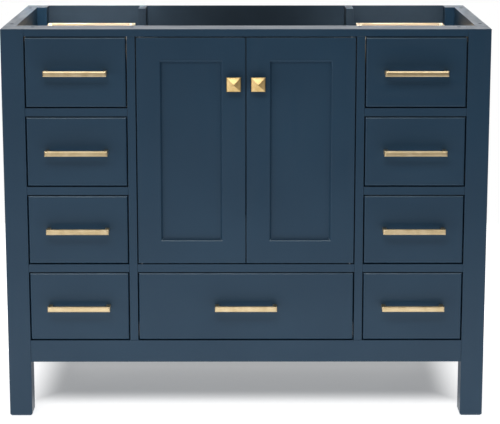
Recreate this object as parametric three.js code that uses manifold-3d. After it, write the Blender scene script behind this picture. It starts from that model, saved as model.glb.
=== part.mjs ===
// Bathroom vanity base cabinet: four posts, an inset face frame, two framed doors and nine drawers.
// Millimetres, +Z up. The origin is on the floor, under the middle of the whole part.
// The front faces -Y, and the back stands against the wall at +Y.

import * as THREE from 'three';
import { mergeVertices } from 'three/addons/utils/BufferGeometryUtils.js';
import Module from 'manifold-3d';

const wasm = await Module();
wasm.setup();

// Overall size
const width = 1067;
const depth = 546;
const height = 876;

// Posts and face frame, as seen from the front
const legWidth = 50;
const legDepth = 55;
const legClearance = 127;
const footChamfer = 4;
const topRailHeight = 16;
const apronHeight = 50;
const dividerHeight = 18;
const mullionWidth = 18;
const sideBayWidth = 224;
const rowCount = 4;
const doorRows = 3;
const frameThickness = 20;

// Carcass panels
const sideThickness = 27;
const sideRecess = 6;
const sideStile = 40;
const backThickness = 9;
const bottomThickness = 15;
const stretcherReach = 74;
const stretcherThickness = 18;
const partitionUpright = 75;
const partitionDrop = 60;
const topHoleDiameter = 10;
const topHoleDepth = 30;
const topHoleInset = 12;
const frontHoleSetback = 114;
const rearHoleSetback = 68;
const cornerHoleInset = 16;

// Drawers
const frontThickness = 19;
const frontChamfer = 2;
const boxWall = 12;
const boxFloor = 6;
const boxFloorRecess = 12;
const boxSideClearance = 7.5;
const boxTopClearance = 20;
const boxBottomClearance = 14;
const boxRearClearance = 60.7;

// Doors
const doorThickness = 20;
const doorMemberWidth = 51;
const doorBevelWidth = 4;
const panelThickness = 6.5;
const panelRecess = 7;
const grooveDepth = 8;
const panelSlack = 0.5;

// Pivot hinges, one at the top and one at the foot of each door's outer edge
const pivotInset = 8;
const pivotSetback = 4.5;
const pinRadius = 2;
const pinClearance = 0.3;
const pinReach = 9;
const pinEndClearance = 1;
const leafLength = 46;
const leafWidth = 12.5;
const leafThickness = 2;

// Pulls and knobs
const pullLength = 138;
const pullHeight = 12;
const pullThickness = 8;
const pullBevel = 2.5;
const pullReach = 30;
const postSize = 9;
const knobSize = 32;
const knobPlate = 3;
const knobPeak = 9;
const knobReach = 25;
const knobStemRadius = 6.5;
const knobDrop = 101;

// Fits
const reveal = 2.5;
const glueLine = 0.3;
const roundSegments = 24;
const cutOverrun = 1;

// Levels and places that follow from the sizes above
const faceY = (pullReach - depth) / 2;
const backY = faceY + depth;
const halfWidth = width / 2;
const apronTop = legClearance + apronHeight;
const frameTop = height - topRailHeight;
const rowHeight = (frameTop - apronTop - (rowCount - 1) * dividerHeight) / rowCount;
const rowPitch = rowHeight + dividerHeight;
const centreBayWidth = width - 2 * (legWidth + sideBayWidth + mullionWidth);
const sideBayX = halfWidth - legWidth - sideBayWidth / 2;
const mullionX = (centreBayWidth + mullionWidth) / 2;
const bayInnerY = backY - backThickness;
const stretcherBase = height - stretcherThickness;
const floorTop = frameTop - doorRows * rowPitch + dividerHeight;
const rowFloor = (row) => frameTop - row * rowPitch - rowHeight;

const paint = { color: 0x2a4159, roughness: 0.42, metalness: 0 };
const insidePaint = { color: 0x33424f, roughness: 0.6, metalness: 0 };
const brass = { color: 0xc9a566, roughness: 0.3, metalness: 1 };
const wood = { color: 0xdcc7a6, roughness: 0.6, metalness: 0 };
const steel = { color: 0x9a9c9e, roughness: 0.35, metalness: 1 };

const sides = [['left', -1], ['right', 1]];
const ordered = (a, b) => [Math.min(a, b), Math.max(a, b)];

const vanity = new THREE.Group();

// Solids: boxes given by their limits, tapers, rods, and the cuts and joins made on them.

function box(x0, x1, y0, y1, z0, z1) {
  return new THREE.Box3(new THREE.Vector3(x0, y0, z0), new THREE.Vector3(x1, y1, z1));
}

function grown(limits, margin) {
  return limits.clone().expandByScalar(margin);
}

function boxGeometry(limits) {
  const size = limits.getSize(new THREE.Vector3());
  const centre = limits.getCenter(new THREE.Vector3());
  return new THREE.BoxGeometry(size.x, size.y, size.z).translate(centre.x, centre.y, centre.z);
}

// A box that narrows over its last stretch towards one end of an axis, the low end (side -1) or the
// high end (side 1): run is the length of that stretch, and inset how far every edge comes in.
function easedGeometry(limits, axis, side, run, inset) {
  const size = limits.getSize(new THREE.Vector3());
  const centre = limits.getCenter(new THREE.Vector3());
  const segments = { x: 1, y: 1, z: 1, [axis]: 2 };
  const geometry = new THREE.BoxGeometry(size.x, size.y, size.z, segments.x, segments.y, segments.z);
  const position = geometry.attributes.position;
  const corner = new THREE.Vector3();
  for (let i = 0; i < position.count; i += 1) {
    corner.fromBufferAttribute(position, i);
    const ring = Math.sign(Math.round(corner[axis] / size[axis] * 2)) * side;
    if (ring === 0) {
      corner[axis] = side * (size[axis] / 2 - run);
    }
    if (ring > 0) {
      for (const across of ['x', 'y', 'z'].filter((name) => name !== axis)) {
        corner[across] -= Math.sign(corner[across]) * inset;
      }
    }
    position.setXYZ(i, corner.x, corner.y, corner.z);
  }
  return geometry.translate(centre.x, centre.y, centre.z);
}

function uprightRod(x, y, z0, z1, radius) {
  const rod = new THREE.CylinderGeometry(radius, radius, z1 - z0, roundSegments);
  return rod.rotateX(Math.PI / 2).translate(x, y, (z0 + z1) / 2);
}

function solid(shape) {
  const bare = (shape.isBox3 ? boxGeometry(shape) : shape).clone();
  bare.deleteAttribute('normal');
  bare.deleteAttribute('uv');
  const merged = mergeVertices(bare);
  return new wasm.Manifold(new wasm.Mesh({
    numProp: 3,
    vertProperties: merged.attributes.position.array,
    triVerts: merged.index.array,
  }));
}

function shaped(base, { join = [], cut = [] } = {}) {
  let body = solid(base);
  for (const shape of join) {
    body = body.add(solid(shape));
  }
  for (const shape of cut) {
    body = body.subtract(solid(shape));
  }
  const mesh = body.getMesh();
  const geometry = new THREE.BufferGeometry();
  geometry.setAttribute('position', new THREE.BufferAttribute(mesh.vertProperties, 3));
  geometry.setIndex(new THREE.BufferAttribute(mesh.triVerts, 1));
  geometry.computeVertexNormals();
  return geometry;
}

// Each piece turns about its own middle, so its mesh sits there and its geometry is centred on it.
function place(parent, name, shape, finish) {
  const geometry = shape.isBox3 ? boxGeometry(shape) : shape;
  geometry.computeBoundingBox();
  const centre = geometry.boundingBox.getCenter(new THREE.Vector3());
  geometry.translate(-centre.x, -centre.y, -centre.z);
  const mesh = new THREE.Mesh(geometry, new THREE.MeshStandardMaterial(finish));
  mesh.name = name;
  mesh.position.copy(centre);
  parent.add(mesh);
}

// Posts: full-height legs at the corners, chamfered at the foot.

const legBoxes = {};
for (const [side, sign] of sides) {
  const [x0, x1] = ordered(sign * halfWidth, sign * (halfWidth - legWidth));
  legBoxes[`leg_front_${side}`] = box(x0, x1, faceY, faceY + legDepth, 0, height);
  legBoxes[`leg_rear_${side}`] = box(x0, x1, backY - legDepth, backY, 0, height);
}
for (const [name, limits] of Object.entries(legBoxes)) {
  place(vanity, name, shaped(easedGeometry(limits, 'z', -1, footChamfer, footChamfer)), paint);
}
const legSpaces = Object.values(legBoxes).map((limits) => grown(limits, glueLine));

// Face frame: two long rails between the posts, two mullions between the rails, and the dividers.

const frameBackY = faceY + frameThickness;
const railEnd = halfWidth - legWidth - glueLine;
const doorPivotX = centreBayWidth / 2 - reveal - pivotInset;
const doorPivotY = faceY + pivotSetback;

function pinHoles(z0, z1) {
  const radius = pinRadius + pinClearance;
  return [-doorPivotX, doorPivotX].map((x) => uprightRod(x, doorPivotY, z0, z1, radius));
}

const topRail = box(-railEnd, railEnd, faceY, frameBackY, frameTop, height);
const pinHoleDepth = pinReach + pinEndClearance;
const topPinHoles = pinHoles(frameTop - cutOverrun, frameTop + pinHoleDepth);
place(vanity, 'top_rail', shaped(topRail, { cut: topPinHoles }), paint);
place(vanity, 'bottom_apron', box(-railEnd, railEnd, faceY, frameBackY, legClearance, apronTop), paint);

for (const [side, sign] of sides) {
  const x = sign * mullionX;
  const half = mullionWidth / 2;
  const z0 = apronTop + glueLine;
  const z1 = frameTop - glueLine;
  place(vanity, `mullion_${side}`, box(x - half, x + half, faceY, frameBackY, z0, z1), paint);
  const reach = sideBayWidth / 2 - glueLine;
  for (let row = 0; row < rowCount - 1; row += 1) {
    const [xMid, zTop] = [sign * sideBayX, rowFloor(row)];
    const limits = box(xMid - reach, xMid + reach, faceY, frameBackY, zTop - dividerHeight, zTop);
    place(vanity, `divider_rail_${side}_${row + 1}`, limits, paint);
  }
}

const centreReach = centreBayWidth / 2 - glueLine;
const centreRail = box(-centreReach, centreReach, faceY, frameBackY, floorTop - dividerHeight, floorTop);
const lowPinHoles = pinHoles(floorTop - pinHoleDepth, floorTop + cutOverrun);
place(vanity, 'divider_rail_centre', shaped(centreRail, { cut: lowPinHoles }), paint);

// Carcass: framed sides flush with the posts, a thin back, a bottom, two partitions, a floor behind
// the doors, and the flat stretcher that the countertop is screwed down to.

const sideInnerX = halfWidth - sideThickness;
for (const [side, sign] of sides) {
  const [x0, x1] = ordered(sign * halfWidth, sign * sideInnerX);
  const y0 = faceY + legDepth + glueLine;
  const y1 = backY - legDepth - glueLine;
  const panel = box(x0, x1, y0, y1, legClearance, height);
  const recessX = ordered(sign * (halfWidth + cutOverrun), sign * (halfWidth - sideRecess));
  const recess = box(...recessX, y0 + sideStile, y1 - sideStile,
    legClearance + sideStile, height - sideStile);
  const holes = [faceY + frontHoleSetback, backY - rearHoleSetback].map((y) => uprightRod(
    sign * (halfWidth - topHoleInset), y, height - topHoleDepth, height + cutOverrun, topHoleDiameter / 2));
  place(vanity, `side_panel_${side}`, shaped(panel, { cut: [recess, ...holes] }), paint);
}

place(vanity, 'back_panel', box(-railEnd, railEnd, bayInnerY, backY, legClearance, height), insidePaint);

const carcassY0 = frameBackY + glueLine;
const carcassY1 = bayInnerY - glueLine;
const carcassEnd = sideInnerX - glueLine;
const bottom = box(-carcassEnd, carcassEnd, carcassY0, carcassY1, apronTop - bottomThickness, apronTop);
place(vanity, 'bottom_panel', shaped(bottom, { cut: legSpaces }), insidePaint);

const stretcher = box(-carcassEnd, carcassEnd, carcassY0, faceY + stretcherReach, stretcherBase, height);
const stretcherHoleY = (frameBackY + faceY + stretcherReach) / 2;
const cornerHoleX = halfWidth - legWidth - cornerHoleInset;
const stretcherHoles = [-cornerHoleX, -mullionX, mullionX, cornerHoleX].map((x) => uprightRod(
  x, stretcherHoleY, stretcherBase - cutOverrun, height + cutOverrun, topHoleDiameter / 2));
place(vanity, 'front_stretcher', shaped(stretcher, { cut: [...legSpaces, ...stretcherHoles] }), paint);

for (const [side, sign] of sides) {
  const [x0, x1] = [sign * mullionX - mullionWidth / 2, sign * mullionX + mullionWidth / 2];
  const board = box(x0, x1, carcassY0, carcassY1, apronTop + glueLine, height);
  const seat = box(x0 - cutOverrun, x1 + cutOverrun, carcassY0 - cutOverrun,
    faceY + stretcherReach + glueLine, stretcherBase - glueLine, height + cutOverrun);
  const notch = box(x0 - cutOverrun, x1 + cutOverrun, faceY + stretcherReach + glueLine,
    carcassY1 - partitionUpright, height - partitionDrop, height + cutOverrun);
  place(vanity, `partition_${side}`, shaped(board, { cut: [seat, notch] }), insidePaint);
}

const floorZ0 = floorTop - dividerHeight;
const compartmentFloor = box(-centreReach, centreReach, carcassY0, carcassY1, floorZ0, floorTop);
place(vanity, 'compartment_floor', compartmentFloor, insidePaint);

// Drawers: an inset slab front, an open box behind it, and a bar pull in front. Each is built round
// the middle of its opening, with Y measured from the face of the frame.

function drawer(name, bayX, bayWidth, row) {
  const group = new THREE.Group();
  group.position.set(bayX, faceY, rowFloor(row) + rowHeight / 2);
  vanity.add(group);

  const frontHalf = bayWidth / 2 - reveal;
  const frontRise = rowHeight / 2 - reveal;
  const slab = box(-frontHalf, frontHalf, 0, frontThickness, -frontRise, frontRise);
  const front = easedGeometry(slab, 'y', -1, frontChamfer, frontChamfer);
  place(group, `drawer_front_${name}`, shaped(front), paint);

  const boxHalf = bayWidth / 2 - boxSideClearance;
  const [y0, y1] = [frontThickness + glueLine, depth - backThickness - boxRearClearance];
  const z0 = -rowHeight / 2 + boxBottomClearance;
  const z1 = rowHeight / 2 - boxTopClearance;
  const floorBase = z0 + boxFloorRecess;
  const shell = box(-boxHalf, boxHalf, y0, y1, z0, z1);
  const [xIn, yIn0, yIn1] = [boxHalf - boxWall, y0 + boxWall, y1 - boxWall];
  const inside = box(-xIn, xIn, yIn0, yIn1, floorBase + boxFloor, z1 + cutOverrun);
  const underside = box(-xIn, xIn, yIn0, yIn1, z0 - cutOverrun, floorBase);
  place(group, `drawer_box_${name}`, shaped(shell, { cut: [inside, underside] }), wood);

  const [barHalf, barRise] = [pullLength / 2, pullHeight / 2];
  const barBack = pullThickness - pullReach;
  const bar = box(-barHalf, barHalf, -pullReach, barBack, -barRise, barRise);
  const posts = [-1, 1].map((end) => {
    const x = end * (barHalf - postSize / 2);
    const half = postSize / 2;
    return box(x - half, x + half, barBack - cutOverrun, -glueLine, -half, half);
  });
  const pull = shaped(easedGeometry(bar, 'y', -1, pullBevel, pullBevel), { join: posts });
  place(group, `pull_${name}`, pull, brass);
}

for (let row = 0; row < rowCount; row += 1) {
  drawer(`left_${row + 1}`, -sideBayX, sideBayWidth, row);
  drawer(`right_${row + 1}`, sideBayX, sideBayWidth, row);
}
drawer('centre', 0, centreBayWidth, doorRows);

// Doors: a frame with a grooved, bevelled inner edge, a flat panel held in the groove, a pyramid knob
// on the closing stile, and a pivot hinge let into each end of the hanging stile. X runs from the
// hinge pin towards the closing edge times the side's sign, and Y from the pin.

const doorWidth = (centreBayWidth - 3 * reveal) / 2;
const doorZ0 = floorTop + reveal;
const doorZ1 = frameTop - reveal;

function door(side, closing) {
  const group = new THREE.Group();
  group.position.set(-closing * doorPivotX, doorPivotY, 0);
  vanity.add(group);

  const slabBox = (a, b, y0, y1, z0, z1) => box(...ordered(closing * a, closing * b), y0, y1, z0, z1);
  const hangingEdge = -pivotInset;
  const closingEdge = doorWidth - pivotInset;
  const frontY = -pivotSetback;
  const rearY = frontY + doorThickness;
  const sightA = hangingEdge + doorMemberWidth;
  const sightB = closingEdge - doorMemberWidth;
  const sightZ0 = doorZ0 + doorMemberWidth;
  const sightZ1 = doorZ1 - doorMemberWidth;

  const slab = slabBox(hangingEdge, closingEdge, frontY, rearY, doorZ0, doorZ1);
  const clearSight = slabBox(sightA + doorBevelWidth, sightB - doorBevelWidth, frontY - cutOverrun,
    rearY + cutOverrun, sightZ0 + doorBevelWidth, sightZ1 - doorBevelWidth);
  const sight = slabBox(sightA, sightB, frontY - cutOverrun, frontY + panelRecess, sightZ0, sightZ1);
  const bevel = easedGeometry(sight, 'y', 1, panelRecess, doorBevelWidth);
  const grooveGrowth = grooveDepth - doorBevelWidth;
  const panelY0 = frontY + panelRecess + glueLine;
  const panelY1 = panelY0 + panelThickness;
  const groove = slabBox(sightA - grooveGrowth, sightB + grooveGrowth, frontY + panelRecess,
    panelY1 + glueLine, sightZ0 - grooveGrowth, sightZ1 + grooveGrowth);

  const leafBox = (z0, z1) => slabBox(hangingEdge, hangingEdge + leafLength, -pinRadius,
    leafWidth - pinRadius, z0, z1);
  const topLeaf = leafBox(doorZ1 - leafThickness, doorZ1);
  const bottomLeaf = leafBox(doorZ0, doorZ0 + leafThickness);
  const mortises = [topLeaf, bottomLeaf].map((leaf) => grown(leaf, glueLine));
  const frame = shaped(slab, { cut: [clearSight, bevel, groove, ...mortises] });
  place(group, `door_frame_${side}`, frame, paint);

  const growth = grooveGrowth - panelSlack;
  const panel = slabBox(sightA - growth, sightB + growth, panelY0, panelY1,
    sightZ0 - growth, sightZ1 + growth);
  place(group, `door_panel_${side}`, panel, paint);

  const topPin = uprightRod(0, 0, doorZ1 - leafThickness, frameTop + pinReach, pinRadius);
  const bottomPin = uprightRod(0, 0, floorTop - pinReach, doorZ0 + leafThickness, pinRadius);
  place(group, `pivot_hinge_${side}_top`, shaped(topLeaf, { join: [topPin] }), steel);
  place(group, `pivot_hinge_${side}_bottom`, shaped(bottomLeaf, { join: [bottomPin] }), steel);

  const knobX = closing * (closingEdge - doorMemberWidth / 2);
  const knobZ = doorZ1 - knobDrop;
  const knobHalf = knobSize / 2;
  const plateY = frontY - knobReach + knobPeak;
  const plate = box(knobX - knobHalf, knobX + knobHalf, plateY, plateY + knobPlate,
    knobZ - knobHalf, knobZ + knobHalf);
  const peak = new THREE.ConeGeometry(knobSize / Math.SQRT2, knobPeak, 4).rotateY(Math.PI / 4);
  peak.rotateX(Math.PI).translate(knobX, plateY - knobPeak / 2, knobZ);
  const stemLength = frontY - glueLine - plateY;
  const stem = new THREE.CylinderGeometry(knobStemRadius, knobStemRadius, stemLength, roundSegments);
  stem.translate(knobX, plateY + stemLength / 2, knobZ);
  place(group, `knob_${side}`, shaped(plate, { join: [peak, stem] }), brass);
}

door('left', 1);
door('right', -1);

export default vanity;
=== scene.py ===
# %% [markdown]
# # A bathroom vanity cabinet
# The cabinet stands on four square posts. It has a face frame in front, two banks of four drawers,
# two framed doors with a wide drawer under them, brass pulls and knobs, and an open top, because the
# countertop and its basin come later. A CAD model already fixes every size and every joint. This
# lesson gives it its looks: softened edges, real joinery, screws and slides, and paint, wood and metal
# that have some life in them.
#
# The CAD model is loaded first. Every object here is in metres in the CAD model's own frame, with +Z
# up and the doors facing -Y, so places are read from the CAD pieces and nothing has to be fitted.

# %% Load the CAD model
import math

import bmesh
import bpy
from mathutils import Matrix, Vector


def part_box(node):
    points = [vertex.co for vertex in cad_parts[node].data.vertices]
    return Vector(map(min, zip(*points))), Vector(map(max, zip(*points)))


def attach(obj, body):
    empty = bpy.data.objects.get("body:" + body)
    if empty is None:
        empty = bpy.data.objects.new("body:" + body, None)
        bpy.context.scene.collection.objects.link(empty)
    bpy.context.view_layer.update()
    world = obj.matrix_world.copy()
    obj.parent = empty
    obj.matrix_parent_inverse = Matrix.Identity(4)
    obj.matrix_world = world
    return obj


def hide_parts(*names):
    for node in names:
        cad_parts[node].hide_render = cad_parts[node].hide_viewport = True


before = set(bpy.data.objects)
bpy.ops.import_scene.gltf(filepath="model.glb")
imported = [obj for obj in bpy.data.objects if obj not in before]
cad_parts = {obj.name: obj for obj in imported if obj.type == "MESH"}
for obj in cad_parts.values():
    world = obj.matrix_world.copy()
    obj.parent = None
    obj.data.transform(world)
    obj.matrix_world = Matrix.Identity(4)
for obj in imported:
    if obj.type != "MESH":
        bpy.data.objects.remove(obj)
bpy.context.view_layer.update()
MM = 0.001
WHITE = (1.0, 1.0, 1.0)
SIDES = {"left": -1, "right": 1}
ROWS = (1, 2, 3, 4)

# %% [markdown]
# ## The viewpoint
# A product photographer steps well back and uses a long lens, so that upright edges stay nearly
# upright. Here the eye is a little above the top of the cabinet, so that its open top is just seen.
# The lens is given in millimetres for a 36 mm wide sensor, as on a real camera.

# %% Set up the camera
EYE = Vector((-0.001, -4.302, 1.31))
EYE_TILT = math.radians(11.72)
EYE_TURN = math.radians(-0.14)
LENS = 134.4
SENSOR_WIDTH = 36.0

camera_data = bpy.data.cameras.new("camera")
camera_data.lens = LENS
camera_data.sensor_width = SENSOR_WIDTH
camera = bpy.data.objects.new("camera", camera_data)
camera.location = EYE
camera.rotation_euler = (math.pi / 2 - EYE_TILT, 0.0, EYE_TURN)
bpy.context.scene.collection.objects.link(camera)
bpy.context.scene.camera = camera

# %% [markdown]
# ## The floor and the light
# The room is a white studio. The floor is a pale disc, and the world is white where the camera sees
# it, so that floor and backdrop run together. For all other rays the world is nearly black, which
# leaves the modelling to the lamps.
#
# Like the glowing tables that small products are shot on, the floor gives off a painted glow of its
# own. The glow is far weaker under the cabinet, and that dimmer patch is a painted shadow, which stays
# put when a drawer opens. A mask drawn with plain arithmetic on the floor's Object coordinates does
# that: how far a point lies outside a rectangle, on x or on y, whichever is more, in widths of the
# rectangle's soft edge. This painted glow brightens the lower drawers, as satin paint mirrors the floor.

# %% Make the floor
FLOOR_RADIUS = 2.0
FLOOR_SEGMENTS = 96
FLOOR_COLOUR = (0.84, 0.84, 0.84)
FLOOR_ROUGHNESS = 0.9
# The glow inside the painted shadow under the cabinet and the glow outside it. The SHADOW numbers place that
# painted shadow.
GLOW_IN_PAINTED_SHADOW = 0.26
GLOW_OUTSIDE = 0.8
SHADOW_HALF = (0.52, 0.288)
SHADOW_SHIFT = (0.0, 0.11)
SHADOW_SOFTNESS = (0.09, 0.12)

floor_mesh = bmesh.new()
bmesh.ops.create_circle(floor_mesh, cap_ends=True, segments=FLOOR_SEGMENTS, radius=FLOOR_RADIUS)
floor_data = bpy.data.meshes.new("floor")
floor_mesh.to_mesh(floor_data)
floor_mesh.free()
floor = bpy.data.objects.new("floor", floor_data)
bpy.context.scene.collection.objects.link(floor)
floor_finish = bpy.data.materials.new("studio_floor_painted_glow")
floor_finish.use_nodes = True
floor_data.materials.append(floor_finish)
print("floor radius in m:", FLOOR_RADIUS)


# %% Paint the floor's glow, with a painted shadow under the cabinet
def calculation(tree, operation, first, second=None):
    """A Math node; each term is a socket or a number."""
    node = tree.nodes.new("ShaderNodeMath")
    node.operation = operation
    for socket, term in zip(node.inputs, (first, second)):
        if isinstance(term, bpy.types.NodeSocket):
            tree.links.new(term, socket)
        elif term is not None:
            socket.default_value = term
    return node.outputs["Value"]


floor_tree = floor_finish.node_tree
floor_shader = floor_tree.nodes["Principled BSDF"]
floor_shader.inputs["Base Color"].default_value = (*FLOOR_COLOUR, 1.0)
floor_shader.inputs["Roughness"].default_value = FLOOR_ROUGHNESS
floor_shader.inputs["Emission Color"].default_value = (*WHITE, 1.0)
floor_place = floor_tree.nodes.new("ShaderNodeTexCoord")
floor_axes = floor_tree.nodes.new("ShaderNodeSeparateXYZ")
floor_tree.links.new(floor_place.outputs["Object"], floor_axes.inputs["Vector"])
outside = []
for axis, half, shift, softness in zip("XY", SHADOW_HALF, SHADOW_SHIFT, SHADOW_SOFTNESS):
    shifted = calculation(floor_tree, "SUBTRACT", floor_axes.outputs[axis], shift)
    beyond = calculation(floor_tree, "SUBTRACT", calculation(floor_tree, "ABSOLUTE", shifted), half)
    outside.append(calculation(floor_tree, "DIVIDE", beyond, softness))
glow = floor_tree.nodes.new("ShaderNodeMapRange")
glow.interpolation_type = "SMOOTHSTEP"
glow.inputs["From Min"].default_value = -1.0
glow.inputs["From Max"].default_value = 0.0
glow.inputs["To Min"].default_value = GLOW_IN_PAINTED_SHADOW
glow.inputs["To Max"].default_value = GLOW_OUTSIDE
floor_tree.links.new(calculation(floor_tree, "MAXIMUM", *outside), glow.inputs["Value"])
floor_tree.links.new(glow.outputs["Result"], floor_shader.inputs["Emission Strength"])
print("glow under and outside the cabinet:", GLOW_IN_PAINTED_SHADOW, GLOW_OUTSIDE)

# %% Make the world
WORLD_SEEN = 1.0
WORLD_FILL = 0.04

world = bpy.data.worlds.new("studio")
bpy.context.scene.world = world
world.use_nodes = True
world_nodes = world.node_tree.nodes
world_links = world.node_tree.links
background = world_nodes["Background"]
background.inputs["Color"].default_value = (*WHITE, 1.0)
ray_kind = world_nodes.new("ShaderNodeLightPath")
brightness = world_nodes.new("ShaderNodeMapRange")
brightness.inputs["To Min"].default_value = WORLD_FILL
brightness.inputs["To Max"].default_value = WORLD_SEEN
world_links.new(ray_kind.outputs["Is Camera Ray"], brightness.inputs["Value"])
world_links.new(brightness.outputs["Result"], background.inputs["Strength"])
bpy.context.scene.view_settings.view_transform = "Standard"
print("world brightness seen and felt:", WORLD_SEEN, WORLD_FILL)

# %% [markdown]
# ### Lamps
# The main lamp is a wide soft box, high in front, which sets the soft edge of the shadow under the
# cabinet. One overhead lights the open top, with a narrow beam over each upper drawer, so that its
# pale wood stands out. A wall of light behind is what the top edges mirror. Brushed brass shows little
# but its surroundings, so cards of light stand low in front and at the sides, where the pulls and the
# slopes of the knobs mirror them. The left ones are brighter, and that gives each slope its own tone.

# %% Hang the lamps
def soft_box(name, place, aim, width, height, power, spread=180):
    """A rectangular lamp at a place, turned to face a point. The spread of its beam is in degrees."""
    lamp = bpy.data.lights.new(name, "AREA")
    lamp.shape = "RECTANGLE"
    lamp.size = width
    lamp.size_y = height
    lamp.energy = power
    lamp.spread = math.radians(spread)
    holder = bpy.data.objects.new(name, lamp)
    holder.location = place
    towards = Vector(aim) - Vector(place)
    holder.rotation_euler = towards.to_track_quat("-Z", "Y").to_euler()
    holder.visible_camera = False
    bpy.context.scene.collection.objects.link(holder)


# Each lamp has its place and aim, its width and height in metres, and its power in watts.
MIDDLE = (0.0, 0.0, 0.45)
# The shadow under the cabinet is this lamp's real shadow together with the painted shadow in the floor's
# glow.
soft_box("main_lamp", (-0.5, -3.2, 3.6), (0.0, -0.6, 0.0), 3.0, 1.2, 62)
soft_box("left_spot", (-0.37, -0.45, 3.2), (-0.37, 0.25, 0.85), 0.3, 0.25, 0.9, spread=9)
soft_box("right_spot", (0.37, -0.45, 3.2), (0.37, 0.25, 0.85), 0.3, 0.25, 0.6, spread=9)
soft_box("top_lamp", (0.0, 0.1, 3.2), MIDDLE, 2.6, 1.4, 40)
soft_box("rear_lamp", (0.0, 3.4, 1.2), MIDDLE, 4.5, 2.4, 52)
soft_box("left_card", (-1.1, -4.1, 0.0), MIDDLE, 1.4, 1.7, 4.5)
soft_box("right_card", (1.3, -4.1, 0.0), MIDDLE, 1.4, 1.4, 0.5)
soft_box("left_wing", (-2.7, -2.0, 0.45), MIDDLE, 1.8, 1.4, 17)
soft_box("right_wing", (2.7, -2.0, 0.45), MIDDLE, 1.8, 1.4, 5)
print("lamps:", len(bpy.data.lights))

# %% [markdown]
# ## The finishes
# Each finish is a Principled shader with a few noise patterns behind it, read in Object coordinates.
# All the pieces sit at the origin with their place in their mesh, so one pattern runs on from board
# to board, and it stays put when a drawer slides.
#
# A pattern is stretched along the grain: its scale is small along one axis and large across it. Three
# versions of a finish, for grain along x, y and z, cover boards that lie in any direction.

# %% Tools for finishes
NOISE_SPAN = (0.3, 0.7)


def shader_input(finish, name):
    """A socket of the finish's Principled shader."""
    return finish.node_tree.nodes["Principled BSDF"].inputs[name]


def new_finish(name, metallic=0.0):
    """A material with an empty Principled shader."""
    finish = bpy.data.materials.new(name)
    finish.use_nodes = True
    shader_input(finish, "Metallic").default_value = metallic
    return finish


def along(axis, lengthwise, crosswise):
    """Pattern scales for a grain along one axis: lengthwise on that axis, crosswise on the others."""
    return [lengthwise if name == axis else crosswise for name in "xyz"]


def stretched_coordinates(finish, scales):
    """The finish's Object coordinates, scaled on each axis."""
    nodes = finish.node_tree.nodes
    place = nodes.new("ShaderNodeTexCoord")
    stretch = nodes.new("ShaderNodeMapping")
    stretch.inputs["Scale"].default_value = scales
    finish.node_tree.links.new(place.outputs["Object"], stretch.inputs["Vector"])
    return stretch.outputs["Vector"]


def noise_pattern(finish, scales, detail=3.0, distortion=0.0):
    """A cloudy pattern from 0 to 1; a scale of 100 makes patches about 10 mm across."""
    noise = finish.node_tree.nodes.new("ShaderNodeTexNoise")
    noise.inputs["Scale"].default_value = 1.0
    noise.inputs["Detail"].default_value = detail
    noise.inputs["Distortion"].default_value = distortion
    coordinates = stretched_coordinates(finish, scales)
    finish.node_tree.links.new(coordinates, noise.inputs["Vector"])
    return noise.outputs["Fac"]


print("scales for a grain along x:", along("x", 10.0, 500.0))


# %% Tools for colour, sheen and relief
def colour_between(finish, pattern, stops):
    """A colour ramp over a pattern; each stop is a position and a colour."""
    ramp = finish.node_tree.nodes.new("ShaderNodeValToRGB")
    marks = ramp.color_ramp.elements
    while len(marks) < len(stops):
        marks.new(0.5)
    for mark, (position, colour) in zip(marks, stops):
        mark.position = position
        mark.color = (*colour, 1.0)
    finish.node_tree.links.new(pattern, ramp.inputs["Fac"])
    return ramp.outputs["Color"]


def mixed(finish, blend, amount, first, second):
    """Two colours blended; the amount is a pattern or a number."""
    mix = finish.node_tree.nodes.new("ShaderNodeMix")
    mix.data_type = "RGBA"
    mix.blend_type = blend
    links = finish.node_tree.links
    if isinstance(amount, float):
        mix.inputs["Factor"].default_value = amount
    else:
        links.new(amount, mix.inputs["Factor"])
    links.new(first, mix.inputs[6])
    links.new(second, mix.inputs[7])
    return mix.outputs[2]


def set_colour(finish, colour):
    """Gives the finish's shader a colour."""
    finish.node_tree.links.new(colour, shader_input(finish, "Base Color"))


def set_two_tone(finish, pattern, deep, pale):
    """Gives the finish a colour that drifts between two, over the span that noise mostly fills."""
    set_colour(finish, colour_between(finish, pattern, list(zip(NOISE_SPAN, (deep, pale)))))


def vary_roughness(finish, pattern, low, high):
    """Roughness that follows a pattern between two values."""
    shift = finish.node_tree.nodes.new("ShaderNodeMapRange")
    shift.inputs["From Min"].default_value = NOISE_SPAN[0]
    shift.inputs["From Max"].default_value = NOISE_SPAN[1]
    shift.inputs["To Min"].default_value = low
    shift.inputs["To Max"].default_value = high
    finish.node_tree.links.new(pattern, shift.inputs["Value"])
    finish.node_tree.links.new(shift.outputs["Result"], shader_input(finish, "Roughness"))


def raise_surface(finish, reliefs):
    """Bumps on the surface; each relief is a pattern and its height in metres."""
    links = finish.node_tree.links
    normal = None
    for pattern, relief_height in reliefs:
        bump = finish.node_tree.nodes.new("ShaderNodeBump")
        bump.inputs["Distance"].default_value = relief_height
        links.new(pattern, bump.inputs["Height"])
        if normal is not None:
            links.new(normal, bump.inputs["Normal"])
        normal = bump.outputs["Normal"]
    links.new(normal, shader_input(finish, "Normal"))


# %% [markdown]
# ### Navy paint
# The outside is sprayed with satin lacquer over smooth wood. Up close such paint isn't flat: it has a
# faint orange peel from the spray, the grain shows through as very low ridges, and its sheen drifts a
# little. The inside gets a single thinner coat on board, so it is greyer, rougher and more uneven.
#
# On doors and drawer fronts the rounded edges that face upwards get a third paint, much paler and
# glossier than the navy. It is a painted highlight, and each front gets the thin bright line along its
# top that shows where it ends.

# %% Mix the paints
SHEEN_SCALES = (9.0, 60.0)
PEEL_SCALE = 420.0
PEEL_HEIGHT = 0.03 * MM
RIDGE_SCALES = (14.0, 900.0)
RIDGE_HEIGHT = 0.02 * MM


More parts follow.
